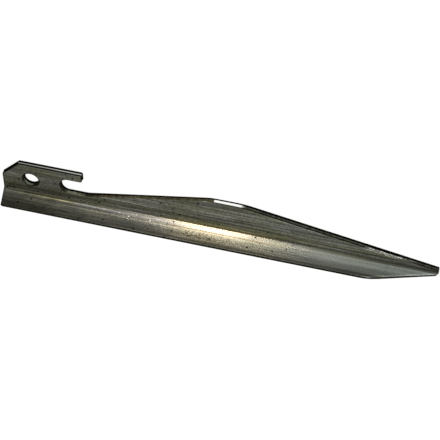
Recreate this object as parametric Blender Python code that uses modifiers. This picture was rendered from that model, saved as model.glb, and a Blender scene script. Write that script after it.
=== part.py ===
# Tent peg of folded sheet steel.
#
# The whole peg is one strip of steel. A die cuts its outline and pierces an eye and
# a rope slot, and a press then folds it along its length into an open V. The wide
# flange carries the eye and the hook, and the narrow one stiffens it.
#
# The peg lies at rest as it does on the ground: the hook flange is flat on z = 0,
# the hollow of the V faces up, and the point is towards +X.
# Metres. The origin is the middle of the whole peg's footprint.

import math

import bmesh
import bpy
from mathutils import Matrix, Vector

MM = 0.001

# The strip and its fold
PEG_LENGTH = 230.0 * MM
SHEET = 2.5 * MM
FOLD_ANGLE = math.radians(125.0)
FOLD_INSIDE_RADIUS = 1.5 * MM

# Flange widths, each from the line where the two inner faces would meet
HOOK_FLANGE_WIDTH = 20.2 * MM
PLAIN_FLANGE_WIDTH = 9.7 * MM

# Head end: a slanted corner above a short square end
HEAD_SQUARE_HEIGHT = 10.4 * MM
HEAD_SLANT_LENGTH = 9.5 * MM
SHOULDER_RADIUS = 0.5 * MM

# Eye and slot, whose lines are measured in from the hook flange's free edge
EYE_LINE_FROM_EDGE = 10.2 * MM
EYE_FROM_HEAD = 15.5 * MM
EYE_DIAMETER = 8.6 * MM
SLOT_LINE_FROM_EDGE = 9.9 * MM
SLOT_WIDTH = 9.3 * MM
SLOT_END_FROM_HEAD = 31.6 * MM
SLOT_END_RADIUS = 4.2 * MM
HOOK_TIP_FROM_HEAD = 43.5 * MM
HOOK_TIP_RADIUS = 1.1 * MM

# Blade: the neck behind the slot climbs to a flat crest and falls to the point
NECK_END_FROM_HEAD = 45.9 * MM
NECK_RADIUS = 8.0 * MM
CREST_START_FROM_HEAD = 112.0 * MM
CREST_LENGTH = 17.5 * MM
CREST_START_RADIUS = 25.0 * MM
CREST_END_RADIUS = 50.0 * MM

# Point: both flanges narrow to a blunt nose
POINT_HOOK_SIDE = 1.7 * MM
POINT_PLAIN_SIDE = 1.5 * MM
PLAIN_TAPER_LENGTH = 34.2 * MM
PLAIN_TAPER_RADIUS = 40.0 * MM
NOSE_LENGTH = 1.2 * MM
NOSE_DROP = 1.5 * MM
NOSE_RADIUS = 2.0 * MM

# Fineness of the facets
FOLD_FACETS = 14
ARC_STEP = math.radians(9.0)
EYE_FACETS = 56
SHARP_EDGE = math.radians(30.0)

# Strip that the die cuts away, and how far each cutter passes the metal
TRIM = 3.0 * MM
PASS = 2.0 * MM
WELD = 0.001 * MM

STEEL_COLOUR = (0.33, 0.32, 0.28, 1.0)
STEEL_ROUGHNESS = 0.38

# The fold runs along X. Each flange has a direction away from the fold, and one
# square to its face towards the hollow.
ALONG_HOOK = Vector((0.0, 1.0, 0.0))
HOOK_INWARD = Vector((0.0, 0.0, 1.0))
ALONG_PLAIN = Vector((0.0, math.cos(FOLD_ANGLE), math.sin(FOLD_ANGLE)))
PLAIN_INWARD = Vector((0.0, math.sin(FOLD_ANGLE), -math.cos(FOLD_ANGLE)))

# The peg's own frame: head end, and the corner where the inner faces would meet
PLAIN_REACH = -(ALONG_PLAIN * PLAIN_FLANGE_WIDTH - PLAIN_INWARD * SHEET).y
HEAD_X = -PEG_LENGTH / 2
FOLD_Y = (PLAIN_REACH - HOOK_FLANGE_WIDTH) / 2
CORNER = Vector((HEAD_X, FOLD_Y, SHEET))


def clear_scene():
    for old in list(bpy.data.objects):
        bpy.data.objects.remove(old, do_unlink=True)


def new_collection(name):
    collection = bpy.data.collections.new(name)
    bpy.context.scene.collection.children.link(collection)
    return collection


def rounded(corners):
    """Points of an open outline whose corners (x, y, radius) become arcs."""
    points = [Vector(corners[0][:2])]
    for before, corner, after in zip(corners, corners[1:], corners[2:]):
        middle = Vector(corner[:2])
        radius = corner[2]
        to_before = (Vector(before[:2]) - middle).normalized()
        to_after = (Vector(after[:2]) - middle).normalized()
        half_angle = to_before.angle(to_after) / 2
        centre = middle + (to_before + to_after).normalized() * radius / math.sin(half_angle)
        first = middle + to_before * radius / math.tan(half_angle) - centre
        last = middle + to_after * radius / math.tan(half_angle) - centre
        turn = first.angle_signed(last)
        steps = max(2, math.ceil(abs(turn) / ARC_STEP))
        for step in range(steps + 1):
            points.append(centre + Matrix.Rotation(-turn * step / steps, 2) @ first)
    points.append(Vector(corners[-1][:2]))
    return points


def fold_section():
    """The inner faces' section: hook flange, inside arc of the fold, plain flange."""
    tangent = FOLD_INSIDE_RADIUS / math.tan(FOLD_ANGLE / 2)
    centre = CORNER + ALONG_HOOK * tangent + HOOK_INWARD * FOLD_INSIDE_RADIUS
    points = [CORNER + ALONG_HOOK * (HOOK_FLANGE_WIDTH + TRIM)]
    sweep = math.pi - FOLD_ANGLE
    for step in range(FOLD_FACETS + 1):
        angle = sweep * step / FOLD_FACETS
        spoke = Vector((0.0, -math.sin(angle), -math.cos(angle)))
        points.append(centre + spoke * FOLD_INSIDE_RADIUS)
    points.append(CORNER + ALONG_PLAIN * (PLAIN_FLANGE_WIDTH + TRIM))
    return points


def folded_strip(collection):
    """The untrimmed strip: the section drawn out along X, thickened to the outside."""
    mesh = bpy.data.meshes.new("peg_body")
    bm = bmesh.new()
    section = [bm.verts.new(point) for point in fold_section()]
    edges = [bm.edges.new(pair) for pair in zip(section, section[1:])]
    drawn = bmesh.ops.extrude_edge_only(bm, edges=edges)["geom"]
    far_end = [item for item in drawn if isinstance(item, bmesh.types.BMVert)]
    bmesh.ops.translate(bm, verts=far_end, vec=(PEG_LENGTH, 0.0, 0.0))
    bmesh.ops.recalc_face_normals(bm, faces=bm.faces)
    if sum(face.normal.z for face in bm.faces) < 0:
        bmesh.ops.reverse_faces(bm, faces=bm.faces)
    bm.to_mesh(mesh)
    bm.free()
    strip = bpy.data.objects.new("peg_body", mesh)
    collection.objects.link(strip)
    solid = strip.modifiers.new("sheet", "SOLIDIFY")
    solid.thickness = SHEET
    solid.offset = -1.0
    solid.use_even_offset = True
    return strip


def plate_cutter(name, outline, across, inward, collection):
    """A flat cutter: an outline in (X, across), as thick as the sheet and more."""
    curve = bpy.data.curves.new(name + "_outline", "CURVE")
    curve.dimensions = "2D"
    curve.fill_mode = "BOTH"
    curve.extrude = SHEET / 2 + PASS
    spline = curve.splines.new("POLY")
    spline.points.add(len(outline) - 1)
    for point, place in zip(spline.points, outline):
        point.co = (place[0], place[1], 0.0, 1.0)
    spline.use_cyclic_u = True
    drawn = bpy.data.objects.new(name + "_outline", curve)
    collection.objects.link(drawn)
    along = Vector((1.0, 0.0, 0.0))
    axes = Matrix((along, across, along.cross(across))).transposed()
    drawn.matrix_world = Matrix.Translation(CORNER - inward * SHEET / 2) @ axes.to_4x4()
    bpy.context.view_layer.update()
    evaluated = drawn.evaluated_get(bpy.context.evaluated_depsgraph_get())
    mesh = bpy.data.meshes.new_from_object(evaluated)
    mesh.name = name
    bm = bmesh.new()
    bm.from_mesh(mesh)
    bmesh.ops.remove_doubles(bm, verts=bm.verts, dist=WELD)
    bmesh.ops.recalc_face_normals(bm, faces=bm.faces)
    bm.to_mesh(mesh)
    bm.free()
    cutter = bpy.data.objects.new(name, mesh)
    cutter.matrix_world = drawn.matrix_world
    collection.objects.link(cutter)
    bpy.data.objects.remove(drawn, do_unlink=True)
    return cutter


def hook_flange_waste(collection):
    """What the die cuts off the wide flange: slanted corner, rope slot, blade."""
    edge = HOOK_FLANGE_WIDTH
    slot_line = edge - SLOT_LINE_FROM_EDGE
    slot_top = slot_line + SLOT_WIDTH / 2
    slot_bottom = slot_line - SLOT_WIDTH / 2
    crest_end = CREST_START_FROM_HEAD + CREST_LENGTH
    slant = (edge - HEAD_SQUARE_HEIGHT) / HEAD_SLANT_LENGTH
    fall = (edge - POINT_HOOK_SIDE) / (PEG_LENGTH - crest_end)
    corners = [
        (-PASS, HEAD_SQUARE_HEIGHT - PASS * slant, 0.0),
        (HEAD_SLANT_LENGTH, edge, SHOULDER_RADIUS),
        (HOOK_TIP_FROM_HEAD, edge, SHOULDER_RADIUS),
        (HOOK_TIP_FROM_HEAD, slot_top, HOOK_TIP_RADIUS),
        (SLOT_END_FROM_HEAD, slot_top, SLOT_END_RADIUS),
        (SLOT_END_FROM_HEAD, slot_bottom, SLOT_END_RADIUS),
        (NECK_END_FROM_HEAD, slot_bottom, NECK_RADIUS),
        (CREST_START_FROM_HEAD, edge, CREST_START_RADIUS),
        (crest_end, edge, CREST_END_RADIUS),
        (PEG_LENGTH + PASS, POINT_HOOK_SIDE - PASS * fall, 0.0),
    ]
    outline = rounded(corners)
    beyond = edge + TRIM + PASS
    outline.append((PEG_LENGTH + PASS, beyond))
    outline.append((-PASS, beyond))
    return plate_cutter("hook_flange_waste", outline, ALONG_HOOK, HOOK_INWARD, collection)


def plain_flange_waste(collection):
    """What the die cuts off the narrow flange: the taper, and the nose down to the fold."""
    taper_start = PEG_LENGTH - PLAIN_TAPER_LENGTH
    nose_start = PEG_LENGTH - NOSE_LENGTH
    corners = [
        (-PASS, PLAIN_FLANGE_WIDTH, 0.0),
        (taper_start, PLAIN_FLANGE_WIDTH, PLAIN_TAPER_RADIUS),
        (nose_start, POINT_PLAIN_SIDE, NOSE_RADIUS),
        (PEG_LENGTH + NOSE_LENGTH, POINT_PLAIN_SIDE - 2 * NOSE_DROP, 0.0),
    ]
    outline = rounded(corners)
    beyond = PLAIN_FLANGE_WIDTH + TRIM + PASS
    outline.append((PEG_LENGTH + PASS, beyond))
    outline.append((-PASS, beyond))
    return plate_cutter("plain_flange_waste", outline, ALONG_PLAIN, PLAIN_INWARD, collection)


def eye_punch(collection):
    """The round punch that pierces the eye."""
    mesh = bpy.data.meshes.new("eye_punch")
    bm = bmesh.new()
    bmesh.ops.create_cone(
        bm,
        cap_ends=True,
        segments=EYE_FACETS,
        radius1=EYE_DIAMETER / 2,
        radius2=EYE_DIAMETER / 2,
        depth=SHEET + 2 * PASS,
    )
    bm.to_mesh(mesh)
    bm.free()
    punch = bpy.data.objects.new("eye_punch", mesh)
    across = HOOK_FLANGE_WIDTH - EYE_LINE_FROM_EDGE
    punch.location = CORNER + Vector((EYE_FROM_HEAD, across, -SHEET / 2))
    collection.objects.link(punch)
    return punch


def cut(body, cutter):
    cutter.hide_render = True
    cutter.display_type = "WIRE"
    boolean = body.modifiers.new(cutter.name, "BOOLEAN")
    boolean.operation = "DIFFERENCE"
    boolean.solver = "EXACT"
    boolean.object = cutter


def finish_sheet(body):
    """Applies the cuts, and shades the fold and the round stretches smooth."""
    evaluated = body.evaluated_get(bpy.context.evaluated_depsgraph_get())
    mesh = bpy.data.meshes.new_from_object(evaluated)
    mesh.name = body.name
    body.modifiers.clear()
    body.data = mesh
    mesh.shade_smooth()
    mesh.set_sharp_from_angle(angle=SHARP_EDGE)


def steel():
    material = bpy.data.materials.new("oiled_steel")
    material.use_nodes = True
    shader = material.node_tree.nodes["Principled BSDF"]
    shader.inputs["Base Color"].default_value = STEEL_COLOUR
    shader.inputs["Metallic"].default_value = 1.0
    shader.inputs["Roughness"].default_value = STEEL_ROUGHNESS
    return material


clear_scene()
peg_parts = new_collection("tent_peg")
cutters = new_collection("cutters")
peg_body = folded_strip(peg_parts)
cut(peg_body, hook_flange_waste(cutters))
cut(peg_body, plain_flange_waste(cutters))
cut(peg_body, eye_punch(cutters))
finish_sheet(peg_body)
peg_body.data.materials.append(steel())
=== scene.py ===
import math
from types import SimpleNamespace

import bmesh
import bpy
from mathutils import Matrix, Vector, noise


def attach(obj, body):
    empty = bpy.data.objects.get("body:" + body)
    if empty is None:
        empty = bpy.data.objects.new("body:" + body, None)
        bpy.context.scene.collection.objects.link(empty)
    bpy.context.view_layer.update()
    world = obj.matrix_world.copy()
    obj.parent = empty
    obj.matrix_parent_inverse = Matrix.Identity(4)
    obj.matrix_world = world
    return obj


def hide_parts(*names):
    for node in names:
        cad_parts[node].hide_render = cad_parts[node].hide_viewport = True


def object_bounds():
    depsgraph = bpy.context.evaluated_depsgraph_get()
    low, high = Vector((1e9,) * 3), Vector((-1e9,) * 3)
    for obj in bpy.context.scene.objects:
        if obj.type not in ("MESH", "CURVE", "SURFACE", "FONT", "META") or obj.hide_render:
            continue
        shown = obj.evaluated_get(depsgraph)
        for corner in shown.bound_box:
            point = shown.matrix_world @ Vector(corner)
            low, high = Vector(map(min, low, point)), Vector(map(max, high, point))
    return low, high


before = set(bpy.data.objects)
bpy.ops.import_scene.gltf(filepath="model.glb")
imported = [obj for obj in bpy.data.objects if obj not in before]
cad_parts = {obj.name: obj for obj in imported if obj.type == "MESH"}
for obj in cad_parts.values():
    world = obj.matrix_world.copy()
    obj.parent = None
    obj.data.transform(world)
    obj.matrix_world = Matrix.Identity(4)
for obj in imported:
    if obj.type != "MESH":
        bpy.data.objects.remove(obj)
cad_low, cad_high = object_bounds()

# The blank: hot-rolled strip steel, 2.5 mm thick, that a die cuts to outline in one
# stroke. The same stroke pierces the eye and the rope slot. All blank sizes are in
# millimetres: x from the head end, across from the fold, + on the hook flange.
PEG_LENGTH = 230.0
SHEET = 2.5
HOOK_FLANGE_WIDTH = 20.2
PLAIN_FLANGE_WIDTH = 9.45
HEAD_SQUARE_HEIGHT = 10.4
HEAD_SLANT_LENGTH = 9.5
SHOULDER_RADIUS = 0.6
EYE_X = 15.5
EYE_ACROSS = 9.8
EYE_RADIUS = 4.15
SLOT_ACROSS = 10.3
SLOT_HALF_WIDTH = 4.65
SLOT_END_X = 31.6
SLOT_END_RADIUS = 4.2
HOOK_TIP_X = 43.5
HOOK_TIP_RADIUS = 1.1
NECK_END_X = 45.9
NECK_RADIUS = 8.0
CREST_START_X = 112.0
CREST_END_X = 129.5
CREST_START_RADIUS = 25.0
CREST_END_RADIUS = 50.0
POINT_HOOK_SIDE = 1.7
POINT_PLAIN_SIDE = 1.5
PLAIN_TAPER_X = 195.8
PLAIN_TAPER_RADIUS = 40.0
NOSE_LENGTH = 1.2
NOSE_RADIUS = 1.0
ARC_STEP = math.radians(6.0)
EYE_POINTS = 72
MITRE_LIMIT = 0.5


def rounded_outline(corners):
    """A closed outline whose corners (x, across, radius) become arcs."""
    points = []
    count = len(corners)
    for i, corner in enumerate(corners):
        middle = Vector(corner[:2])
        radius = corner[2]
        to_before = (Vector(corners[i - 1][:2]) - middle).normalized()
        to_after = (Vector(corners[(i + 1) % count][:2]) - middle).normalized()
        half_angle = to_before.angle(to_after) / 2
        centre = middle + (to_before + to_after).normalized() * radius / math.sin(half_angle)
        first = middle + to_before * radius / math.tan(half_angle) - centre
        last = middle + to_after * radius / math.tan(half_angle) - centre
        turn = first.angle_signed(last)
        steps = max(3, math.ceil(abs(turn) / ARC_STEP))
        for step in range(steps + 1):
            points.append(centre + Matrix.Rotation(-turn * step / steps, 2) @ first)
    return points


def blank_outline():
    """Anticlockwise, so that the metal is always on the left."""
    slot_low = SLOT_ACROSS - SLOT_HALF_WIDTH
    slot_high = SLOT_ACROSS + SLOT_HALF_WIDTH
    clockwise = [
        (0.0, -PLAIN_FLANGE_WIDTH, SHOULDER_RADIUS),
        (0.0, HEAD_SQUARE_HEIGHT, SHOULDER_RADIUS),
        (HEAD_SLANT_LENGTH, HOOK_FLANGE_WIDTH, SHOULDER_RADIUS),
        (HOOK_TIP_X, HOOK_FLANGE_WIDTH, SHOULDER_RADIUS),
        (HOOK_TIP_X, slot_high, HOOK_TIP_RADIUS),
        (SLOT_END_X, slot_high, SLOT_END_RADIUS),
        (SLOT_END_X, slot_low, SLOT_END_RADIUS),
        (NECK_END_X, slot_low, NECK_RADIUS),
        (CREST_START_X, HOOK_FLANGE_WIDTH, CREST_START_RADIUS),
        (CREST_END_X, HOOK_FLANGE_WIDTH, CREST_END_RADIUS),
        (PEG_LENGTH, POINT_HOOK_SIDE, SHOULDER_RADIUS),
        (PEG_LENGTH, 0.0, SHOULDER_RADIUS),
        (PEG_LENGTH - NOSE_LENGTH, -POINT_PLAIN_SIDE, NOSE_RADIUS),
        (PLAIN_TAPER_X, -PLAIN_FLANGE_WIDTH, PLAIN_TAPER_RADIUS),
    ]
    return rounded_outline(clockwise)[::-1]


def eye_outline():
    """Clockwise, so that the metal is again on the left."""
    points = []
    for i in range(EYE_POINTS):
        turn = -2 * math.pi * i / EYE_POINTS
        x = EYE_X + EYE_RADIUS * math.cos(turn)
        points.append(Vector((x, EYE_ACROSS + EYE_RADIUS * math.sin(turn))))
    return points


def moved_in(outline, inset):
    """The outline moved into the metal by inset, with mitred corners."""
    moved = []
    count = len(outline)
    for i, point in enumerate(outline):
        into = (point - outline[i - 1]).normalized()
        out = (outline[(i + 1) % count] - point).normalized()
        left = Vector((-into.y - out.y, into.x + out.x)).normalized()
        mitre = max(MITRE_LIMIT, left.dot(Vector((-into.y, into.x))))
        moved.append(point + left * inset / mitre)
    return moved


# The cut edge: where the die enters, the sheet rolls over and is burnished. Below
# that it breaks, and the break slants outward to a dulled burr on the far side.
# Each pair is (how far into the metal, how deep below the inner face).
EDGE_SECTION = [
    (0.56, 0.0),
    (0.42, 0.0),
    (0.26, 0.015),
    (0.13, 0.06),
    (0.05, 0.15),
    (0.0, 0.32),
    (0.0, 1.05),
    (-0.05, 1.6),
    (-0.14, 2.25),
    (-0.17, 2.44),
    (-0.17, 2.495),
    (0.42, 2.5),
    (0.56, 2.5),
]
BURR_STARTS_ACROSS = 1.0
OUTLINE_BURR = 1.0
EYE_BURR = 2.4


def edge_rings(bm, outline, depth_in, burr):
    """The cut wall round an outline. The edge on the plain flange has no burr."""
    rings = []
    for inset, depth in EDGE_SECTION:
        inset = inset * burr if inset < 0 else inset
        ring = []
        for point, own in zip(moved_in(outline, inset), outline):
            if inset < 0 and own.y < BURR_STARTS_ACROSS:
                point = own
            along = min(max(point.x, 0.0), PEG_LENGTH)
            vert = bm.verts.new((along, point.y, -depth))
            vert[depth_in] = inset
            ring.append(vert)
        rings.append(ring)
    for upper, lower in zip(rings, rings[1:]):
        for i in range(len(upper)):
            bm.faces.new((upper[i - 1], lower[i - 1], lower[i], upper[i]))
    return rings


def fill_face(bm, rings, which):
    """Fills the blank's inner or outer face between the outline and the eye."""
    edges = []
    for loops in rings:
        ring = loops[which]
        edges += [bm.edges.get((ring[i - 1], ring[i])) for i in range(len(ring))]
    bmesh.ops.triangle_fill(bm, use_beauty=True, edges=edges)


# The two faces: ruled with a grid of straight lines, so that the flat sheet can bend
# at the fold and sway a little. Nothing of the grid shows on the finished steel.
X_RULE = 2.0
RULE_SLACK = 0.0001
CUT_SLACK = 0.00001
LEVEL = 0.9999


def rule_lines(bm, places, axis):
    """Splits the faces along straight lines square to the axis."""
    normal = [0.0, 0.0, 0.0]
    normal[axis] = 1.0
    for place in places:
        point = [0.0, 0.0, 0.0]
        point[axis] = place
        bmesh.ops.bisect_plane(
            bm,
            geom=bm.verts[:] + bm.edges[:] + bm.faces[:],
            dist=CUT_SLACK,
            plane_co=point,
            plane_no=normal,
        )


def on_ruled_line(edge):
    first, second = edge.verts[0].co, edge.verts[1].co
    return abs(first.x - second.x) < RULE_SLACK or abs(first.y - second.y) < RULE_SLACK


def clear_fill_edges(bm):
    """Takes out the diagonals of the fill, which leaves a grid of flat cells."""
    loose = []
    for edge in bm.edges:
        if len(edge.link_faces) == 2 and not on_ruled_line(edge):
            flat = all(abs(face.normal.z) > LEVEL for face in edge.link_faces)
            heights = [v.co.z for face in edge.link_faces for v in face.verts]
            if flat and all(height in (0.0, -SHEET) for height in heights):
                loose.append(edge)
    bmesh.ops.dissolve_edges(bm, edges=loose, use_verts=True)


# The fold: a press brake bends the blank along its length into an open V. The tool
# leaves a small inside radius, a flat heel beside it that ends in a faint line, and
# a plain flange that springs into a very shallow curve.
BEND_ACROSS = 0.75
FOLD_INSIDE_RADIUS = 1.0
HEEL_TURN = math.radians(48.4)
FLANGE_TURN = math.radians(49.1)
PLAIN_CURVE_RADIUS = 50.0
TOOL_LINE_ACROSS = -1.95
TOOL_LINE_HALF_WIDTH = 0.3
TOOL_LINE_DEPTH = 0.02
FOLD_FACETS = 12
HEEL_LINES = (-0.4, -0.9, -1.4)
TOOL_LINE_STEPS = (1.0, 0.5, 0.0, -0.5, -1.0)
PLAIN_LINES_START = -2.7
PLAIN_LINES_STEP = 0.7
PLAIN_LINES = 9
HOOK_LINES_STEP = 1.4
HOOK_LINES = 13
SWAY = 0.035
SWAY_PER_MM = (0.03, 0.09)
SWAY_SEED = 4.0
MM = 0.001

tangent = FOLD_INSIDE_RADIUS * math.tan(HEEL_TURN / 2)
bend_starts = BEND_ACROSS + tangent
fold_y = cad_high.y / MM - HOOK_FLANGE_WIDTH


def across_lines():
    """Closely spaced in the fold and at the tool line, wider on the flanges."""
    lines = [BEND_ACROSS + tangent * (1 - 2 * i / FOLD_FACETS) for i in range(FOLD_FACETS + 1)]
    lines += HEEL_LINES
    lines += [TOOL_LINE_ACROSS + TOOL_LINE_HALF_WIDTH * step for step in TOOL_LINE_STEPS]
    lines += [PLAIN_LINES_START - PLAIN_LINES_STEP * i for i in range(PLAIN_LINES)]
    lines += [bend_starts + HOOK_LINES_STEP * i for i in range(1, HOOK_LINES + 1)]
    return lines


def swayed(x, across):
    """How far the sheet stands off its true plane: rolled strip is never quite flat."""
    pattern = Vector((x * SWAY_PER_MM[0], across * SWAY_PER_MM[1], SWAY_SEED))
    return SWAY * (1 + noise.noise(pattern)) / 2


def folded(x, across, depth):
    """Where a point of the blank is after the fold, in the part's frame, in metres."""
    tool_mark = 0.0
    from_bend = across - BEND_ACROSS
    if from_bend >= tangent:
        turned = 0.0
        y, z = across, 0.0
    elif from_bend > -tangent:
        turned = HEEL_TURN * (tangent - from_bend) / (2 * tangent)
        y = bend_starts - FOLD_INSIDE_RADIUS * math.sin(turned)
        z = FOLD_INSIDE_RADIUS * (1 - math.cos(turned))
    else:
        turned = HEEL_TURN
        heel = BEND_ACROSS - tangent - max(across, TOOL_LINE_ACROSS)
        y = bend_starts - FOLD_INSIDE_RADIUS * math.sin(turned) - heel * math.cos(turned)
        z = FOLD_INSIDE_RADIUS * (1 - math.cos(turned)) + heel * math.sin(turned)
        if across < TOOL_LINE_ACROSS:
            turned = FLANGE_TURN + (TOOL_LINE_ACROSS - across) / PLAIN_CURVE_RADIUS
            y -= PLAIN_CURVE_RADIUS * (math.sin(turned) - math.sin(FLANGE_TURN))
            z += PLAIN_CURVE_RADIUS * (math.cos(FLANGE_TURN) - math.cos(turned))
        off_line = abs(across - TOOL_LINE_ACROSS) / TOOL_LINE_HALF_WIDTH
        if off_line < 1 and depth < SHEET / 2:
            tool_mark = TOOL_LINE_DEPTH * (1 + math.cos(math.pi * off_line)) / 2
    lift = swayed(x, across) - tool_mark - depth
    y += math.sin(turned) * lift
    z += math.cos(turned) * lift
    return Vector((cad_low.x + x * MM, (fold_y + y) * MM, (SHEET + z) * MM))


def folded_peg():
    """The cut, pierced and folded sheet. It remembers where each spot was when flat."""
    bm = bmesh.new()
    from_edge = bm.verts.layers.float.new("from_edge")
    blank = bm.verts.layers.float_vector.new("blank")
    rings = [
        edge_rings(bm, blank_outline(), from_edge, OUTLINE_BURR),
        edge_rings(bm, eye_outline(), from_edge, EYE_BURR),
    ]
    fill_face(bm, rings, 0)
    fill_face(bm, rings, -1)
    rule_lines(bm, [X_RULE * i for i in range(1, int(PEG_LENGTH / X_RULE))], 0)
    rule_lines(bm, across_lines(), 1)
    bmesh.ops.recalc_face_normals(bm, faces=bm.faces)
    clear_fill_edges(bm)
    for vert in bm.verts:
        x, across, height = vert.co
        vert[blank] = (x, across, height)
        vert.co = folded(x, across, -height)
    bmesh.ops.recalc_face_normals(bm, faces=bm.faces)
    mesh = bpy.data.meshes.new("folded_peg")
    bm.to_mesh(mesh)
    bm.free()
    mesh.shade_smooth()
    peg = bpy.data.objects.new("folded_peg", mesh)
    bpy.context.scene.collection.objects.link(peg)
    weighted = peg.modifiers.new("even_shading", "WEIGHTED_NORMAL")
    weighted.mode = "FACE_AREA"
    weighted.weight = 100
    return peg


peg = folded_peg()
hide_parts("peg_body")
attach(peg, "root")

# The finish: bare rolled steel under a thin film of oil. The rolls drew fine lines
# along it, and scale and oil leave olive and grey clouds. The sheared edges are dark
# and brown, and the strip's own slit edge, on the hook and the crest, is brighter.
STEEL_GREY = (0.282, 0.281, 0.238)
STEEL_OLIVE = (0.236, 0.240, 0.162)
OIL_STAIN = (0.150, 0.143, 0.095)
FRECKLE_TAN = (0.46, 0.39, 0.29)
PIT_DARK = (0.012, 0.012, 0.010)
# Painted white glints on the nicks and dents.
PAINTED_SPARKLE = (0.95, 0.94, 0.90)
# ROLLED_RIM is painted shade on the rolled-over edges; SHEARED_BLACK on the break is partly painted
# shade.
ROLLED_RIM = (0.012, 0.012, 0.009)
SHEARED_BLACK = (0.003, 0.003, 0.002)
SHEARED_DEEP = (0.020, 0.024, 0.012)
SHEARED_BROWN = (0.080, 0.065, 0.033)
SHEARED_UMBER = (0.083, 0.077, 0.044)
# SHEARED_OLIVE, SHEARED_BRIGHT and EYE_GREEN are painted light on the wall.
SHEARED_OLIVE = (0.19, 0.19, 0.142)
SHEARED_GREEN = (0.080, 0.088, 0.068)
SHEARED_BRIGHT = (0.28, 0.285, 0.26)
EYE_GREEN = (0.17, 0.205, 0.155)
SLIT_EDGE = (0.35, 0.355, 0.33)
# A painted white highlight on the crest's slit edge, and glints at the tip.
PAINTED_EDGE_GLINT = (0.95, 0.95, 0.93)

# What the rolls and the shear left: how dense each pattern is per millimetre along,
# across and through the sheet, then its detail and its roughness.
MILL_PATTERNS = {
    "clouds": ((0.06, 0.16, 0.2), 6.0, 0.62),
    "stains": ((0.11, 0.35, 0.3), 5.0, 0.65),
    "bands": ((0.011, 0.92, 0.3), 0.0, 0.55),
    "lines": ((0.03, 2.0, 0.6), 3.0, 0.7),
    "grain": ((1.2, 1.0, 1.0), 3.0, 0.7),
    "ticks": ((1.6, 1.3, 1.0), 2.0, 0.6),
    "drag": ((0.8, 0.8, 0.12), 3.0, 0.7),
}
PATTERN_SHIFT = (0.3, 0.4, 0.5)

# How a pattern, which runs from about 0.3 to 0.7, shows: from this value to that one,
# then its levels at both, which for greys are shares of the steel's colour. The press
# tool wiped the plain flange, which keeps only a part of the clouds, streaks and grain.
CLOUDED = (0.40, 0.64)
STAINED = (0.56, 0.72, 0.0, 0.4)
BAND_GREYS = (0.34, 0.66, 0.70, 1.30)
LINE_GREYS = (0.3, 0.7, 0.45, 1.55)
GRAIN_GREYS = (0.3, 0.7, 0.64, 1.36)
DRAG_GREYS = (0.3, 0.7, 0.5, 1.5)
WIPED_CLOUDS = 0.4
WIPED_STREAKS = 0.35
WIPED_GRAIN = 0.2

# Every mark has soft edges, each written (none of it here, all of it there), in
# millimetres along the peg or across it. A third and fourth number give other levels
# than none and all.
HOOK_SIDE = (BEND_ACROSS - 0.5, BEND_ACROSS + 0.5)
PLAIN_SIDE = (BEND_ACROSS + 0.5, BEND_ACROSS - 0.5)
TOOL_LINE = (
    (TOOL_LINE_ACROSS + 0.32, TOOL_LINE_ACROSS + 0.12),
    (TOOL_LINE_ACROSS - 0.32, TOOL_LINE_ACROSS - 0.12),
)
INSIDE_FOLD = ((-0.75, -0.25), (1.7, 1.0))


def add(tree, kind, inputs=(), **settings):
    """Adds a node. An input is a value or another node's output."""
    node = tree.nodes.new(kind)
    for name, value in settings.items():
        setattr(node, name, value)
    for name, value in dict(inputs).items():
        if isinstance(value, bpy.types.NodeSocket):
            tree.links.new(value, node.inputs[name])
        else:
            node.inputs[name].default_value = value
    return node


def stretched(tree, place, scale):
    sizes = {0: place, 1: scale, 2: PATTERN_SHIFT}
    return add(tree, "ShaderNodeVectorMath", sizes, operation="MULTIPLY_ADD").outputs[0]


def rolled_noise(tree, place, scale, detail, roughness):
    """Noise as dense as scale says, per millimetre along, across and through."""
    node = add(tree, "ShaderNodeTexNoise", {
        "Vector": stretched(tree, place, scale),
        "Scale": 1.0,
        "Detail": detail,
        "Roughness": roughness,
    })
    return node.outputs["Fac"]


def ramp(tree, value, low, high, to_low=0.0, to_high=1.0):
    """A soft step: to_low where the value is low, to_high where it is high."""
    node = add(tree, "ShaderNodeMapRange", {
        "Value": value,
        "From Min": low,
        "From Max": high,
        "To Min": to_low,
        "To Max": to_high,
    }, interpolation_type="SMOOTHSTEP")
    return node.outputs["Result"]


def maths(tree, operation, first, second=0.0):
    return add(tree, "ShaderNodeMath", {0: first, 1: second}, operation=operation).outputs[0]


def outside(tree, mark):
    """Where the mark isn't."""
    return maths(tree, "SUBTRACT", 1.0, mark)


def patch(tree, *limits):
    """Where a mark lies. Each limit is a value and then the mark's soft edges in it."""
    inside = None
    for value, *edges in limits:
        for edge in edges:
            step = ramp(tree, value, *edge)
            inside = maths(tree, "MULTIPLY", inside, step) if inside else step
    return inside


def region(tree, spot, edges_along, edges_across):
    """A patch of the sheet, by its soft edges along the peg and across it."""
    return patch(tree, (spot.along, *edges_along), (spot.across, *edges_across))


def blend(tree, factor, first, second, kind="MIX"):
    node = add(tree, "ShaderNodeMix", {"Factor": factor}, data_type="RGBA", blend_type=kind)
    for socket, value in ((node.inputs[6], first), (node.inputs[7], second)):
        if isinstance(value, bpy.types.NodeSocket):
            tree.links.new(value, socket)
        else:
            socket.default_value = (*value, 1.0)
    return node.outputs[2]


def times(tree, colour, tint):
    return blend(tree, 1.0, colour, tint, "MULTIPLY")


def tinted(tree, colour, where, tint):
    """The colour times the tint, where the mark is."""
    return blend(tree, where, colour, times(tree, colour, tint))


def shade(tree, value, low, high, to_low, to_high):
    """A grey that darkens or lightens what it multiplies."""
    level = ramp(tree, value, low, high, to_low, to_high)
    grey = {"Red": level, "Green": level, "Blue": level}
    return add(tree, "ShaderNodeCombineColor", grey).outputs["Color"]


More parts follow.
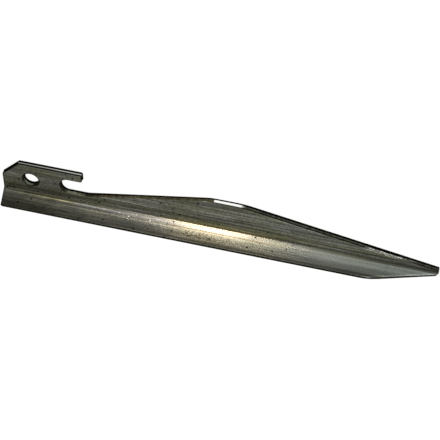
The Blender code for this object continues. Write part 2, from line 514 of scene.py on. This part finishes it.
def specks(tree, place, density, share, size):
    """Round marks of mixed size: share of the cells has one, up to size of a cell."""
    cells = add(tree, "ShaderNodeTexVoronoi", {
        "Vector": stretched(tree, place, density),
        "Scale": 1.0,
        "Randomness": 1.0,
    }, voronoi_dimensions="2D")
    lot = add(tree, "ShaderNodeSeparateColor", {"Color": cells.outputs["Color"]}).outputs["Red"]
    reach = ramp(tree, lot, 1.0 - share, 1.0, 0.0, size)
    return maths(tree, "LESS_THAN", cells.outputs["Distance"], reach)


def steel_spot(tree):
    """Where a spot of steel was on the flat blank, and what the mill left there."""
    place = add(tree, "ShaderNodeAttribute", attribute_name="blank").outputs["Vector"]
    parts = add(tree, "ShaderNodeSeparateXYZ", {"Vector": place}).outputs
    spot = SimpleNamespace(place=place, along=parts["X"], across=parts["Y"])
    spot.depth = maths(tree, "MULTIPLY", parts["Z"], -1.0)
    spot.from_edge = add(tree, "ShaderNodeAttribute", attribute_name="from_edge").outputs["Fac"]
    spot.hook_side = ramp(tree, spot.across, *HOOK_SIDE)
    spot.plain_side = ramp(tree, spot.across, *PLAIN_SIDE)
    for name, pattern in MILL_PATTERNS.items():
        setattr(spot, name, rolled_noise(tree, place, *pattern))
    return spot


def rolled_colour(tree, spot):
    """Grey and olive clouds, oil stains, and the lines and grain of the rolls."""
    clouds = ramp(tree, spot.hook_side, 0.0, 1.0, WIPED_CLOUDS, 1.0)
    olive = maths(tree, "MULTIPLY", ramp(tree, spot.clouds, *CLOUDED), clouds)
    colour = blend(tree, olive, STEEL_GREY, STEEL_OLIVE)
    colour = blend(tree, ramp(tree, spot.stains, *STAINED), colour, OIL_STAIN)
    bands = shade(tree, spot.bands, *BAND_GREYS)
    streaks = times(tree, bands, shade(tree, spot.lines, *LINE_GREYS))
    colour = tinted(tree, colour, ramp(tree, spot.hook_side, 0.0, 1.0, WIPED_STREAKS, 1.0), streaks)
    grain = shade(tree, spot.grain, *GRAIN_GREYS)
    return tinted(tree, colour, ramp(tree, spot.hook_side, 0.0, 1.0, WIPED_GRAIN, 1.0), grain)


# Tints on the sheet, from oil, scale and handling, and some painted light and shade:
# soft edges along, soft edges across, and what the colour is multiplied by.
TINTS = (
    # A duller middle of the plain flange's bright patch, painted shade on the lamp's
    # highlight, and bluer steel at the point, a painted cool reflection.
    (((96.0, 106.0), (126.0, 114.0)), ((-1.4, -2.2),), (0.85, 0.84, 0.83)),
    (((120.0, 170.0),), (), (0.97, 0.99, 1.09)),
    # The hook flange: a lighter stripe, then darker towards the head and the point.
    (((50.0, 60.0),), ((6.8, 7.4), (8.6, 8.0)), (1.12, 1.12, 1.10)),
    (((60.0, 24.0),), (HOOK_SIDE,), (0.66, 0.66, 0.66)),
    (((172.0, 200.0),), (HOOK_SIDE,), (0.85, 0.85, 0.85)),
    # The plain flange: cooler behind the head, dark beside the tool line, the line
    # itself rubbed tan, and a painted highlight, a bright line just inside the free edge.
    (((24.0, 40.0), (100.0, 80.0)), (PLAIN_SIDE,), (0.93, 0.95, 1.02)),
    (((106.0, 92.0),), ((-0.8, -1.2), (-2.6, -2.2)), (0.71, 0.71, 0.72)),
    (((84.0, 94.0), (150.0, 136.0)), TOOL_LINE, (0.78, 0.66, 0.48)),
    (((34.0, 66.0, 0.5, 1.0),), ((-8.2, -8.45), (-8.95, -8.8)), (2.6, 2.62, 2.5)),
    # The fold: brown on the hook flange's side, bluish on the heel, and between them a
    # tan painted highlight, the warm fringe of the lamp's bright patch.
    (((84.0, 112.0), (182.0, 160.0)), ((0.9, 1.5), (5.2, 4.0)), (1.2, 1.18, 0.96)),
    (((36.0, 46.0), (150.0, 130.0)), ((-2.3, -1.7), (0.9, 0.3)), (1.0, 1.0, 1.14)),
    (((76.0, 98.0), (152.0, 130.0)), ((3.2, 1.9), (0.1, 0.6)), (2.0, 1.76, 1.3)),
    # Painted shade inside the fold towards the head and the point, and painted light,
    # paler steel, beside it towards the point.
    (((90.0, 48.0),), INSIDE_FOLD, (0.55, 0.54, 0.45)),
    (((146.0, 182.0),), INSIDE_FOLD, (0.55, 0.54, 0.45)),
    (((178.0, 204.0),), ((-1.1, -0.4), (1.4, 0.8)), (0.66, 0.67, 0.66)),
    (((132.0, 146.0), (176.0, 206.0, 0.3, 1.0)), ((1.1, 1.7), (3.3, 2.6)), (1.85, 1.83, 1.75)),
)

# Tints that change along the peg: an olive stripe beside the fold, darker at the
# head; painted shade towards the plain flange's free edge and in the flange's middle
# below the lamp's bright patch, both of which narrow past the hook; and a painted
# highlight, a line in the fold that goes from tan to grey.
OLIVE_STRIPE = ((), ((2.4, 4.4), (6.8, 5.8)))
OLIVE_ROOT = (1.0, 0.99, 0.84)
OLIVE_ROOT_GREYS = (66.0, 92.0, 0.72, 0.84)
FREE_EDGE_ACROSS = -8.6
FREE_EDGE_STARTS = (66.0, 92.0, -6.2, -6.9)
FREE_EDGE_SHADE = 0.54
PAINTED_SHADE_ALONG = ((54.0, 68.0), (98.0, 84.0, 0.62, 1.0), (172.0, 152.0))
PAINTED_SHADE_BELOW_HEEL = (-2.2, -4.0)
PAINTED_SHADE_ENDS = (66.0, 92.0, -8.2, -6.6)
PAINTED_SHADE_FULL = (66.0, 92.0, -7.2, -4.8)
PAINTED_SHADE_TINT = (0.72, 0.75, 0.79)
FOLD_HIGHLIGHT = (((72.0, 48.0), (2.0, 14.0)), ((-0.4, -0.7), (-1.3, -1.0)))
FOLD_HIGHLIGHT_TURNS_GREY = (34.0, 46.0)
FOLD_HIGHLIGHT_TAN = (2.2, 2.05, 1.6)
FOLD_HIGHLIGHT_GREY = (1.9, 1.92, 2.0)

# The head end of the plain flange is darker towards its free edge, painted shade, and
# blotched by the stains and streaked by the rolled lines.
HEAD_END = (((66.0, 30.0),), (PLAIN_SIDE,))
HEAD_END_SHADE_GREYS = (-6.2, -2.4, 0.76, 1.0)
BLOTCH_GREYS = (0.38, 0.62, 1.2, 0.75)
STREAK_GREYS = (0.3, 0.7, 0.75, 1.25)


def handled_colour(tree, spot, colour):
    """The rolled colour with the tints of oil, dirt and handling, and painted light and shade."""
    along, across = spot.along, spot.across
    for edges_along, edges_across, tint in TINTS:
        colour = tinted(tree, colour, region(tree, spot, edges_along, edges_across), tint)
    olive = times(tree, shade(tree, along, *OLIVE_ROOT_GREYS), OLIVE_ROOT)
    colour = tinted(tree, colour, region(tree, spot, *OLIVE_STRIPE), olive)
    # Painted shade, darker towards the plain flange's free edge.
    edge_starts = ramp(tree, along, *FREE_EDGE_STARTS)
    free_edge = shade(tree, across, FREE_EDGE_ACROSS, edge_starts, FREE_EDGE_SHADE, 1.0)
    colour = times(tree, colour, free_edge)
    # Painted shade towards the head end's free edge, with the stains' blotches and the lines' streaks.
    shade_and_blotches = shade(tree, across, *HEAD_END_SHADE_GREYS)
    shade_and_blotches = times(tree, shade_and_blotches, shade(tree, spot.stains, *BLOTCH_GREYS))
    shade_and_blotches = times(tree, shade_and_blotches, shade(tree, spot.lines, *STREAK_GREYS))
    colour = tinted(tree, colour, region(tree, spot, *HEAD_END), shade_and_blotches)
    # Painted shade in the plain flange's middle, below the lamp's bright patch.
    above_edge = (ramp(tree, along, *PAINTED_SHADE_ENDS), ramp(tree, along, *PAINTED_SHADE_FULL))
    painted_shade = region(tree, spot, PAINTED_SHADE_ALONG, (PAINTED_SHADE_BELOW_HEEL, above_edge))
    colour = tinted(tree, colour, painted_shade, PAINTED_SHADE_TINT)
    # A painted highlight along the fold, tan towards the head, then grey.
    rubbed = blend(tree, ramp(tree, along, *FOLD_HIGHLIGHT_TURNS_GREY), FOLD_HIGHLIGHT_TAN, FOLD_HIGHLIGHT_GREY)
    return tinted(tree, colour, region(tree, spot, *FOLD_HIGHLIGHT), rubbed)


# Small marks: freckles of rust film on the bright patch, pits from the mill scale,
# nicks beside the fold and dents along the taper's edge near the point, both shown
# as painted white glints. Beside the rolled edges runs a thin painted highlight.
FRECKLED = (((84.0, 98.0), (138.0, 114.0)), ((-7.4, -5.6), (-2.3, -3.6)))
FAINTLY_FRECKLED = (132.0, 112.0, 0.0, 0.06)
FRECKLE_TICKS = (0.50, 0.40)
PITS_PER_MM = (0.30, 0.22, 0.2)
PIT_SHARE = 0.45
PIT_SIZE = 0.16
PIT_STRENGTH = 0.92
PITS_END = (165.0, 145.0)
PITTED_STAINS = (0.47, 0.50)
NICKED = (((42.0, 62.0), (84.0, 80.0)), ((-4.6, -3.4), (-0.2, -0.5)))
NICKS_PER_MM = (0.42, 0.55, 0.2)
NICK_SHARE = 0.8
NICK_SIZE = 0.12
DENTED = (((190.0, 194.0), (216.0, 206.0)), (HOOK_SIDE,))
DENT_GLINT_GRAIN = (0.42, 0.56)
RIM_HIGHLIGHT_GAPS = ((0.5, 0.65), (1.35, 1.0))
RIM_HIGHLIGHT_ENDS = (214.0, 202.0)
RIM_HIGHLIGHT = (1.6, 1.6, 1.56)
NOSE_HIGHLIGHT_GAPS = ((0.6, 0.75), (1.5, 1.2))
NOSE_HIGHLIGHT = (1.9, 1.9, 1.88)


def freckled_patch(tree, spot):
    faint = ramp(tree, spot.along, *FAINTLY_FRECKLED)
    freckled = maths(tree, "MAXIMUM", region(tree, spot, *FRECKLED), faint)
    return maths(tree, "MULTIPLY", freckled, spot.plain_side)


def pitted_patch(tree, spot):
    """Pits all over the hook flange, and in the stains of the plain one."""
    pits = specks(tree, spot.place, PITS_PER_MM, PIT_SHARE, PIT_SIZE)
    pits = maths(tree, "MULTIPLY", pits, ramp(tree, spot.along, *PITS_END))
    stained = ramp(tree, spot.stains, *PITTED_STAINS)
    return maths(tree, "MULTIPLY", pits, maths(tree, "MAXIMUM", spot.hook_side, stained))


def gap_to_edge(tree, place, first, last):
    """How far inside the straight edge from first to last, metal on the right."""
    edge = (Vector(last) - Vector(first)).normalized()
    out = Vector((-edge.y, edge.x))
    reach = add(tree, "ShaderNodeVectorMath", {0: place, 1: (*out, 0.0)}, operation="DOT_PRODUCT")
    return maths(tree, "SUBTRACT", out.dot(Vector(first)), reach.outputs["Value"])


def edge_gaps(tree, spot):
    """How far a spot is from the hook flange's, the nose's and the plain flange's edge."""
    crest_end = (CREST_END_X, HOOK_FLANGE_WIDTH)
    hook_taper = gap_to_edge(tree, spot.place, crest_end, (PEG_LENGTH, POINT_HOOK_SIDE))
    hook_gap = maths(tree, "SUBTRACT", HOOK_FLANGE_WIDTH, spot.across)
    spot.hook_gap = maths(tree, "MINIMUM", hook_gap, hook_taper)
    nose = (PEG_LENGTH - NOSE_LENGTH, -POINT_PLAIN_SIDE)
    spot.nose_gap = gap_to_edge(tree, spot.place, nose, (PLAIN_TAPER_X, -PLAIN_FLANGE_WIDTH))
    plain_gap = maths(tree, "ADD", spot.across, PLAIN_FLANGE_WIDTH)
    spot.plain_gap = maths(tree, "MINIMUM", plain_gap, spot.nose_gap)


def marked_colour(tree, spot, colour):
    """The sheet's colour with the small marks, painted glints and painted highlights."""
    freckles = maths(tree, "MULTIPLY", spot.freckled, ramp(tree, spot.ticks, *FRECKLE_TICKS))
    colour = tinted(tree, colour, freckles, FRECKLE_TAN)
    # Painted highlights: bright lines inside the nose's edge and the hook flange's edge.
    colour = tinted(tree, colour, patch(tree, (spot.nose_gap, *NOSE_HIGHLIGHT_GAPS)), NOSE_HIGHLIGHT)
    rim_highlight = patch(tree, (spot.hook_gap, *RIM_HIGHLIGHT_GAPS), (spot.along, RIM_HIGHLIGHT_ENDS))
    colour = tinted(tree, colour, rim_highlight, RIM_HIGHLIGHT)
    # Painted white glints on the dents near the point.
    dent_glints = maths(tree, "MULTIPLY", rim_highlight, ramp(tree, spot.grain, *DENT_GLINT_GRAIN))
    dent_glints = maths(tree, "MULTIPLY", dent_glints, region(tree, spot, *DENTED))
    colour = blend(tree, dent_glints, colour, PAINTED_SPARKLE)
    colour = blend(tree, maths(tree, "MULTIPLY", spot.pits, PIT_STRENGTH), colour, PIT_DARK)
    # Painted white glints on the nicks beside the fold.
    nick_glints = specks(tree, spot.place, NICKS_PER_MM, NICK_SHARE, NICK_SIZE)
    nick_glints = maths(tree, "MULTIPLY", nick_glints, region(tree, spot, *NICKED))
    return blend(tree, nick_glints, colour, PAINTED_SPARKLE)


# The sheared wall: a burnished band under the rolled edge, and a black break below,
# its black partly painted shade. The strip's slit edge is polished and lighter towards
# the hook's tip, painted light, and along the crest it carries a painted white highlight.
WALL_DEPTH = (0.02, 0.2)
WALL_INSET = (0.55, 0.43)
SLIT_FLANK = (HOOK_FLANGE_WIDTH - 0.35, HOOK_FLANGE_WIDTH - 0.1)
SLIT_ON_HOOK = (70.0, 60.0)
SLIT_ON_CREST = (CREST_START_X + 1.3, CREST_START_X + 2.1)
CREST_GLINT_ENDS = (CREST_END_X - 0.9, CREST_END_X - 1.9)
SLIT_LIGHTING_GREYS = (12.0, HOOK_TIP_X, 0.75, 1.4)
NECK = (((33.0, 35.5), (48.0, 39.0)), ((8.5, 7.5),))
EYE_FLOOR = (((11.2, 12.8), (17.0, 15.2)), ((9.6, 8.6),))
TIP = (((191.0, 195.0), (220.0, 208.0)), ())


def wall_parts(tree, spot):
    """Where the wall is, and on it the slit edge and the neck, the eye and the tip."""
    spot.wall = patch(tree, (spot.depth, WALL_DEPTH), (spot.from_edge, WALL_INSET))
    on_hook = ramp(tree, spot.along, *SLIT_ON_HOOK)
    on_crest = ramp(tree, spot.along, *SLIT_ON_CREST)
    flank = ramp(tree, spot.across, *SLIT_FLANK)
    spot.slit = maths(tree, "MULTIPLY", flank, maths(tree, "MAXIMUM", on_hook, on_crest))
    crest = patch(tree, (spot.along, SLIT_ON_CREST, CREST_GLINT_ENDS))
    spot.rubbed = maths(tree, "MULTIPLY", spot.slit, crest)
    spot.neck = region(tree, spot, *NECK)
    spot.eye_floor = region(tree, spot, *EYE_FLOOR)
    spot.tip = region(tree, spot, *TIP)


# The burnished band's limits: depths below the inner face, and places along the peg.
BURNISHED_DEPTH = ((0.3, 0.5), (1.4, 1.15))
INNER_HALF_DEPTH = ((0.02, 0.12), (1.4, 1.15))
TIP_STRIP_DEPTH = ((0.02, 0.12), (0.95, 0.65))
CLIMB_DEPTH = (0.1, 0.25)
CLIMB_ALONG = ((50.0, 64.0), (CREST_END_X, CREST_END_X - 1.0))
BREAK_STARTS = (62.0, 72.0, 1.35, 1.62)
HOOK_RIM_DEPTH = (0.8, 0.55)
HOOK_RIM_ENDS = (60.0, 50.0)


def burnished_band(tree, spot):
    """How burnished the wall is, and where painted light lies on it: at the neck, on the
    eye's floor and at the tip. The band is wider up to the crest, and at the tip it is
    only a strip. On the hook it starts below a dark rim."""
    along, depth = spot.along, spot.depth
    burnished = patch(tree, (depth, *BURNISHED_DEPTH))
    above_break = maths(tree, "LESS_THAN", depth, ramp(tree, along, *BREAK_STARTS))
    climb = patch(tree, (along, *CLIMB_ALONG), (depth, CLIMB_DEPTH))
    burnished = maths(tree, "MAXIMUM", burnished, maths(tree, "MULTIPLY", climb, above_break))
    inner_half = patch(tree, (depth, *INNER_HALF_DEPTH))
    for part in (spot.neck, spot.eye_floor):
        burnished = maths(tree, "MAXIMUM", burnished, maths(tree, "MULTIPLY", part, inner_half))
    tip_strip = maths(tree, "MULTIPLY", spot.tip, patch(tree, (depth, *TIP_STRIP_DEPTH)))
    burnished = maths(tree, "MULTIPLY", burnished, outside(tree, spot.tip))
    burnished = maths(tree, "MAXIMUM", burnished, tip_strip)
    hook_rim = patch(tree, (along, HOOK_RIM_ENDS), (depth, HOOK_RIM_DEPTH))
    hook_rim = maths(tree, "MULTIPLY", hook_rim, spot.slit)
    return maths(tree, "MULTIPLY", burnished, outside(tree, hook_rim))


# Where the band's colour changes along the peg, and which grain carries painted
# glints at the tip.
HEAD_CORNER = (8.5, 10.5)
CLIMB_STARTS = (44.0, 56.0)
CLIMB_TURNS_UMBER = (56.0, 66.0)
PAST_CREST = (CREST_START_X + 10.0, CREST_START_X + 22.0)
GLINT_GRAIN = (0.48, 0.55)


def wall_colour(tree, spot):
    """The burnished band's colours from the head to the point, with painted light at the
    neck, on the eye's floor and at the tip, and the black break.
    """
    along = spot.along
    band = blend(tree, ramp(tree, along, *HEAD_CORNER), SHEARED_BLACK, SHEARED_DEEP)
    # Painted light: a green glint on the eye's floor.
    band = blend(tree, spot.eye_floor, band, EYE_GREEN)
    climb = blend(tree, ramp(tree, along, *CLIMB_TURNS_UMBER), SHEARED_BROWN, SHEARED_UMBER)
    band = blend(tree, ramp(tree, along, *CLIMB_STARTS), band, climb)
    # Painted light on the neck's wall.
    band = blend(tree, spot.neck, band, SHEARED_OLIVE)
    band = blend(tree, ramp(tree, along, *PAST_CREST), band, SHEARED_GREEN)
    # Painted white glints at the tip.
    glints = blend(tree, ramp(tree, spot.grain, *GLINT_GRAIN), SHEARED_BRIGHT, PAINTED_EDGE_GLINT)
    band = blend(tree, spot.tip, band, glints)
    band = times(tree, band, shade(tree, spot.drag, *DRAG_GREYS))
    # Painted light: the slit edge lighter towards the hook, white along the crest.
    slit = times(tree, SLIT_EDGE, shade(tree, along, *SLIT_LIGHTING_GREYS))
    slit = blend(tree, spot.rubbed, slit, PAINTED_EDGE_GLINT)
    band = blend(tree, spot.slit, band, slit)
    # The break's black is partly painted shade.
    wall = blend(tree, spot.burnished, SHEARED_BLACK, band)
    return blend(tree, spot.hook_side, ROLLED_RIM, wall)


# The rolled-over edge: a thin dark line of painted shade where the sheet curves into
# the cut. It is wider round the eye, and it doesn't show at the neck, up to the crest
# and at the tip.
ROLLED_OVER = (0.54, 0.36)
PLAIN_ROLLED_OVER = (0.70, 0.50)
HEAD_ROLLED_OVER = (0.9, 0.55)
EYE_RING = (EYE_RADIUS + 1.1, EYE_RADIUS + 0.6)
BRIGHT_CLIMB = ((46.0, 52.0), (113.0, 110.0))


def rolled_rim(tree, spot):
    plain_rim = maths(tree, "MULTIPLY", spot.plain_side, ramp(tree, spot.plain_gap, *PLAIN_ROLLED_OVER))
    hook_rim = patch(tree, (spot.across, HOOK_SIDE), (spot.from_edge, ROLLED_OVER))
    climb = patch(tree, (spot.along, *BRIGHT_CLIMB))
    for bright in (maths(tree, "MAXIMUM", spot.neck, spot.tip), climb):
        hook_rim = maths(tree, "MULTIPLY", hook_rim, outside(tree, bright))
    middle = {0: spot.place, 1: (EYE_X, EYE_ACROSS, 0.0)}
    from_eye = add(tree, "ShaderNodeVectorMath", middle, operation="DISTANCE").outputs["Value"]
    rim = maths(tree, "ADD", plain_rim, hook_rim)
    rim = maths(tree, "MAXIMUM", rim, ramp(tree, from_eye, *EYE_RING))
    return maths(tree, "MAXIMUM", rim, ramp(tree, spot.along, *HEAD_ROLLED_OVER))


# How the steel shines: fairly smooth sheet, smoother between the rolled lines, and
# rough, lightless edges. The relief is a few thousandths of a millimetre deep.
LINE_ROUGHNESS = (0.3, 0.7, 0.19, 0.26)
CLOUD_ROUGHNESS = (0.35, 0.65, 0.0, 0.03)
EDGE_ROUGHNESS = 0.8
BARE_ROUGHNESS = 0.35
RELIEF_DEPTH = 0.000008
LINE_RELIEF = 0.4
FRECKLE_RELIEF = 0.5
GRAIN_RELIEF = (0.015, 0.09)


def steel_roughness(tree, spot, dulled, bare):
    smooth = ramp(tree, spot.lines, *LINE_ROUGHNESS)
    smooth = maths(tree, "ADD", smooth, ramp(tree, spot.clouds, *CLOUD_ROUGHNESS))
    edge = ramp(tree, bare, 0.0, 1.0, EDGE_ROUGHNESS, BARE_ROUGHNESS)
    levels = {0: dulled, 2: smooth, 3: edge}
    return add(tree, "ShaderNodeMix", levels, data_type="FLOAT").outputs[0]


def steel_relief(tree, spot):
    grain = maths(tree, "MULTIPLY", spot.grain, ramp(tree, spot.hook_side, 0.0, 1.0, *GRAIN_RELIEF))
    relief = maths(tree, "ADD", maths(tree, "MULTIPLY", spot.lines, LINE_RELIEF), grain)
    freckles = maths(tree, "MULTIPLY", spot.freckled, FRECKLE_RELIEF)
    relief = maths(tree, "ADD", relief, maths(tree, "MULTIPLY", spot.ticks, freckles))
    relief = maths(tree, "SUBTRACT", relief, spot.pits)
    heights = {"Height": relief, "Distance": RELIEF_DEPTH, "Strength": 1.0}
    return add(tree, "ShaderNodeBump", heights).outputs["Normal"]


def oiled_steel():
    material = bpy.data.materials.new("oiled_steel")
    material.use_nodes = True
    tree = material.node_tree
    spot = steel_spot(tree)
    spot.freckled = freckled_patch(tree, spot)
    spot.pits = pitted_patch(tree, spot)
    edge_gaps(tree, spot)
    wall_parts(tree, spot)
    spot.burnished = burnished_band(tree, spot)
    colour = rolled_colour(tree, spot)
    colour = handled_colour(tree, spot, colour)
    colour = marked_colour(tree, spot, colour)
    rim = rolled_rim(tree, spot)
    # Painted shade along the rolled-over edges.
    colour = blend(tree, rim, colour, ROLLED_RIM)
    colour = blend(tree, spot.wall, colour, wall_colour(tree, spot))
    bare = maths(tree, "MULTIPLY", spot.slit, spot.burnished)
    dulled = maths(tree, "MAXIMUM", spot.wall, rim)
    metallic = maths(tree, "MAXIMUM", bare, outside(tree, dulled))
    shader = tree.nodes["Principled BSDF"]
    shader.inputs["Specular IOR Level"].default_value = 0.0
    tree.links.new(colour, shader.inputs["Base Color"])
    tree.links.new(metallic, shader.inputs["Metallic"])
    tree.links.new(steel_roughness(tree, spot, dulled, bare), shader.inputs["Roughness"])
    tree.links.new(steel_relief(tree, spot), shader.inputs["Normal"])
    return material


peg.data.materials.append(oiled_steel())

# The floor: a plain white table top that the peg lies on. The camera and the metal
# see it white, and it still takes the peg's soft shadow.
FLOOR_HALF_SIZE = 6.0
FLOOR_CELLS = 8
FLOOR_GAP = 0.00002
FLOOR_GLOW = 0.84
FLOOR_WHITE = (0.8, 0.8, 0.8, 1.0)
SHADOW_WHITE = (0.22, 0.22, 0.22, 1.0)


def white_table():
    material = bpy.data.materials.new("white_table")
    material.use_nodes = True
    tree = material.node_tree
    tree.nodes.clear()
    path = add(tree, "ShaderNodeLightPath").outputs
    seen = maths(tree, "MAXIMUM", path["Is Camera Ray"], path["Is Glossy Ray"])
    seen = maths(tree, "MAXIMUM", seen, path["Is Transmission Ray"])
    table = add(tree, "ShaderNodeBsdfDiffuse", {"Color": FLOOR_WHITE}).outputs[0]
    glow = add(tree, "ShaderNodeEmission", {"Strength": FLOOR_GLOW}).outputs[0]
    shadow = add(tree, "ShaderNodeBsdfDiffuse", {"Color": SHADOW_WHITE}).outputs[0]
    white = add(tree, "ShaderNodeAddShader", {0: glow, 1: shadow}).outputs[0]
    mixed = add(tree, "ShaderNodeMixShader", {0: seen, 1: table, 2: white}).outputs[0]
    add(tree, "ShaderNodeOutputMaterial", {"Surface": mixed})
    return material


def white_floor():
    mesh = bpy.data.meshes.new("white_floor")
    bm = bmesh.new()
    bmesh.ops.create_grid(bm, x_segments=FLOOR_CELLS, y_segments=FLOOR_CELLS, size=FLOOR_HALF_SIZE)
    bm.to_mesh(mesh)
    bm.free()
    mesh.materials.append(white_table())
    floor = bpy.data.objects.new("white_floor", mesh)
    floor.location.z = -FLOOR_GAP
    bpy.context.scene.collection.objects.link(floor)
    return floor


white_floor()

# The light: one tall narrow lamp on the camera's side, which the plain flange
# reflects as a long bright patch, two dim cool cards for the rest of the flange, and
# a big soft box over each end. They all point at the middle of the plain flange.
LIT_MIDDLE = Vector((0.0, (fold_y - 3.0) * MM, 6.0 * MM))


def soft_box(name, towards, distance, width, height, glow, colour):
    """An area lamp. Its glow is its own brightness, whatever its size."""
    lamp = bpy.data.lights.new(name, "AREA")
    lamp.shape = "RECTANGLE"
    lamp.size = width
    lamp.size_y = height
    lamp.energy = glow * math.pi * width * height
    lamp.color = colour
    light = bpy.data.objects.new(name, lamp)
    direction = Vector(towards).normalized()
    up = direction.cross(Vector((1.0, 0.0, 0.0))).normalized()
    turn = Matrix((up.cross(direction), up, direction)).transposed()
    light.matrix_world = Matrix.Translation(LIT_MIDDLE + direction * distance) @ turn.to_4x4()
    bpy.context.scene.collection.objects.link(light)


soft_box(
    "near_lamp",
    towards=(-0.213, 0.5715, 0.7924),
    distance=0.36,
    width=0.030,
    height=0.22,
    glow=13.8,
    colour=(1.0, 0.88, 0.71),
)
soft_box(
    "cool_card",
    towards=(0.14, 0.748, 0.649),
    distance=0.50,
    width=0.28,
    height=0.08,
    glow=1.05,
    colour=(0.84, 0.96, 1.0),
)
soft_box(
    "head_card",
    towards=(-0.40, 0.668, 0.628),
    distance=0.50,
    width=0.16,
    height=0.07,
    glow=0.3,
    colour=(0.86, 0.97, 1.0),
)
for name, end in (("head_side_box", -1.0), ("point_side_box", 1.0)):
    soft_box(
        name,
        towards=(0.85 * end, 0.0, 0.52),
        distance=1.3,
        width=0.9,
        height=0.9,
        glow=3.0,
        colour=(1.0, 1.0, 1.0),
    )

# The room: white at the horizon, behind the table, and above that grey, but dark
# behind the camera, so that the hook flange reflects little.
HORIZON_WHITE = (1.0, 1.0, 1.0)
ROOM_GREY = (0.40, 0.40, 0.40)
ROOM_DARK = (0.07, 0.07, 0.07)
DARK_SIDE = (0.15, 0.6)
ABOVE_HORIZON = (0.10, 0.2)


def studio_room():
    world = bpy.data.worlds.new("studio")
    bpy.context.scene.world = world
    world.use_nodes = True
    tree = world.node_tree
    where = add(tree, "ShaderNodeTexCoord").outputs["Generated"]
    direction = add(tree, "ShaderNodeSeparateXYZ", {"Vector": where}).outputs
    room = blend(tree, ramp(tree, direction["Y"], *DARK_SIDE), ROOM_GREY, ROOM_DARK)
    colour = blend(tree, ramp(tree, direction["Z"], *ABOVE_HORIZON), HORIZON_WHITE, room)
    tree.links.new(colour, tree.nodes["Background"].inputs["Color"])


studio_room()

# The camera: a long lens, 1.2 m away, above the hook flange's side. The photograph
# is taken with the peg's underside towards the top, so the camera is rolled over.
CAMERA_LENS = 192.59
CAMERA_SEES_TO = 50.0
CAMERA_PLACE = Vector((0.242376, 0.892538, 0.757208))
CAMERA_BACK = Vector((0.20179, 0.74744, 0.63294))
CAMERA_UP = Vector((-0.19000, 0.66383, -0.72335))


def photo_camera():
    camera = bpy.data.objects.new("photo_camera", bpy.data.cameras.new("photo_camera"))
    camera.data.lens = CAMERA_LENS
    camera.data.clip_end = CAMERA_SEES_TO
    back = CAMERA_BACK.normalized()
    right = CAMERA_UP.cross(back).normalized()
    up = back.cross(right)
    turn = Matrix((right, up, back)).transposed()
    camera.matrix_world = Matrix.Translation(CAMERA_PLACE) @ turn.to_4x4()
    bpy.context.scene.collection.objects.link(camera)
    bpy.context.scene.camera = camera


photo_camera()
bpy.context.scene.view_settings.view_transform = "Standard"
